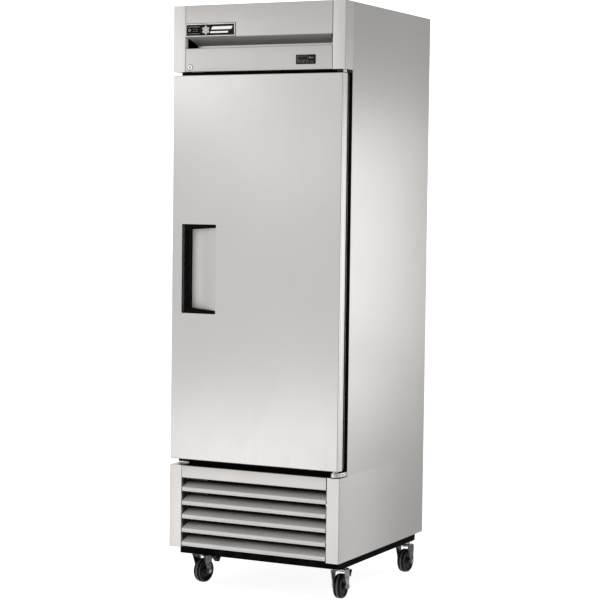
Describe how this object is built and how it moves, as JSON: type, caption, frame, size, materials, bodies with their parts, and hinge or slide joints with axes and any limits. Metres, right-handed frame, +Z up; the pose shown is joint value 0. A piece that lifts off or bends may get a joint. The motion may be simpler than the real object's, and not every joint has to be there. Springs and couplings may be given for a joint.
{
  "type": "reach in refrigerator",
  "caption": "Upright solid-door commercial refrigerator: insulated stainless cabinet on swivel casters, recessed handle, header controls, louvred base grille and wire shelves.",
  "frame": {"origin": "centre of the bounding box on the floor, under the wheels", "axes": "+Z up, +Y towards the back, +X to the right seen from the front"},
  "size_m": [0.686, 0.758, 2.115],
  "materials": {
    "stainless": "brushed satin",
    "galvanised": "dull spangle",
    "foam": "closed-cell",
    "liner_metal": "satin",
    "black_steel": "semi-matt powder coat",
    "black_plastic": "fine grain",
    "display_glass": "gloss",
    "chrome": "polished",
    "gasket_rubber": "matt",
    "zinc": "bright zinc",
    "coated_wire": "smooth coat",
    "fin_aluminium": "mill",
    "lamp_lens": "frosted",
    "copper": "drawn tube",
    "wheel_rubber": "satin"
  },
  "bodies": {
    "cabinet": {"left_side_panel": "stainless", "right_side_panel": "stainless", "top_panel": "galvanised", "back_panel": "galvanised", "cabinet_insulation": "foam", "inner_liner": "liner_metal", "face_frame": "black_plastic", "cabinet_bottom_panel": "galvanised", "base_frame": "black_steel", "front_posts": "stainless", "grille_top_band": "stainless", "grille_louvers": "stainless", "grille_frame": "black_steel", "header_end_caps": "stainless", "header_upper_panel": "stainless", "header_lower_panel": "stainless", "nameplate": "black_plastic", "display_housing": "black_plastic", "display_lens": "display_glass", "lock_barrel": "chrome", "hinge_brackets": "chrome", "shelf_pilasters": "liner_metal", "shelf_clips": "zinc", "wire_shelves": "coated_wire", "evaporator_cover": "liner_metal", "evaporator_coil": "fin_aluminium", "evaporator_fan_motor": "black_steel", "interior_lamp": "lamp_lens", "compressor": "black_steel", "condenser_coil": "fin_aluminium", "condenser_shroud": "black_steel", "condenser_fan_motor": "black_steel", "refrigerant_tubes": "copper", "condensate_pan": "black_plastic", "electrical_box": "black_plastic", "caster_plates": "zinc", "caster_bolts": "zinc", "panel_screws": "zinc"},
    "door": {"door_outer_skin": "stainless", "door_insulation": "foam", "door_edge_frame": "black_plastic", "door_inner_liner": "liner_metal", "door_gasket": "gasket_rubber", "handle_grip": "black_plastic", "handle_pocket": "stainless", "hinge_bushes": "black_plastic"},
    "lock_plug": {"lock_plug": "chrome"},
    "rocker_switch": {"rocker_switch": "black_plastic"},
    "evaporator_fan": {"evaporator_fan_blade": "fin_aluminium"},
    "condenser_fan": {"condenser_fan_blade": "fin_aluminium"},
    "fork_front_left": {"caster_fork_front_left": "zinc"},
    "wheel_front_left": {"caster_wheel_front_left": "wheel_rubber"},
    "pedal_front_left": {"brake_pedal_front_left": "black_steel"},
    "fork_front_right": {"caster_fork_front_right": "zinc"},
    "wheel_front_right": {"caster_wheel_front_right": "wheel_rubber"},
    "pedal_front_right": {"brake_pedal_front_right": "black_steel"},
    "fork_rear_left": {"caster_fork_rear_left": "zinc"},
    "wheel_rear_left": {"caster_wheel_rear_left": "wheel_rubber"},
    "fork_rear_right": {"caster_fork_rear_right": "zinc"},
    "wheel_rear_right": {"caster_wheel_rear_right": "wheel_rubber"}
  },
  "joints": [
    {"name": "door_swing", "type": "hinge", "parent": "cabinet", "child": "door", "pos_m": [0.321, -0.363, 1.2], "axis": [0, 0, 1], "range_deg": [0, 120], "stiffness_Nm_per_rad": 1.5, "springref_deg": -17.19},
    {"name": "lock_turn", "type": "hinge", "parent": "cabinet", "child": "lock_plug", "pos_m": [-0.273, -0.36, 1.894], "axis": [0, 1, 0], "range_deg": [0, 90]},
    {"name": "rocker_tilt", "type": "hinge", "parent": "cabinet", "child": "rocker_switch", "pos_m": [-0.261, -0.368, 2.026], "axis": [0, 0, -1], "range_deg": [0, 12]},
    {"name": "evaporator_fan_spin", "type": "hinge", "parent": "cabinet", "child": "evaporator_fan", "pos_m": [0, -0.11, 1.872], "axis": [0, 0, 1], "continuous": true},
    {"name": "condenser_fan_spin", "type": "hinge", "parent": "cabinet", "child": "condenser_fan", "pos_m": [0, -0.224, 0.29], "axis": [0, 1, 0], "continuous": true},
    {"name": "swivel_front_left", "type": "hinge", "parent": "cabinet", "child": "fork_front_left", "pos_m": [-0.2829, -0.2323, 0.107], "axis": [0, 0, 1], "continuous": true},
    {"name": "roll_front_left", "type": "hinge", "parent": "fork_front_left", "child": "wheel_front_left", "pos_m": [-0.28116, -0.22245, 0.0445], "axis": [0.9848, -0.1736, 0], "continuous": true},
    {"name": "brake_front_left", "type": "hinge", "parent": "fork_front_left", "child": "pedal_front_left", "pos_m": [-0.27977, -0.21457, 0.097], "axis": [-0.9848, 0.1736, 0], "range_deg": [0, 12]},
    {"name": "swivel_front_right", "type": "hinge", "parent": "cabinet", "child": "fork_front_right", "pos_m": [0.2844, -0.2321, 0.107], "axis": [0, 0, 1], "continuous": true},
    {"name": "roll_front_right", "type": "hinge", "parent": "fork_front_right", "child": "wheel_front_right", "pos_m": [0.28353, -0.22214, 0.0445], "axis": [0.9962, 0.0872, 0], "continuous": true},
    {"name": "brake_front_right", "type": "hinge", "parent": "fork_front_right", "child": "pedal_front_right", "pos_m": [0.28283, -0.21417, 0.097], "axis": [-0.9962, -0.0872, 0], "range_deg": [0, 12]},
    {"name": "swivel_rear_left", "type": "hinge", "parent": "cabinet", "child": "fork_rear_left", "pos_m": [-0.3004, 0.3175, 0.107], "axis": [0, 0, 1], "continuous": true},
    {"name": "roll_rear_left", "type": "hinge", "parent": "fork_rear_left", "child": "wheel_rear_left", "pos_m": [-0.30282, 0.3272, 0.0445], "axis": [0.9703, 0.2419, 0], "continuous": true},
    {"name": "swivel_rear_right", "type": "hinge", "parent": "cabinet", "child": "fork_rear_right", "pos_m": [0.2969, 0.318, 0.107], "axis": [0, 0, 1], "continuous": true},
    {"name": "roll_rear_right", "type": "hinge", "parent": "fork_rear_right", "child": "wheel_rear_right", "pos_m": [0.29742, 0.32799, 0.0445], "axis": [0.9986, -0.0523, 0], "continuous": true}
  ]
}
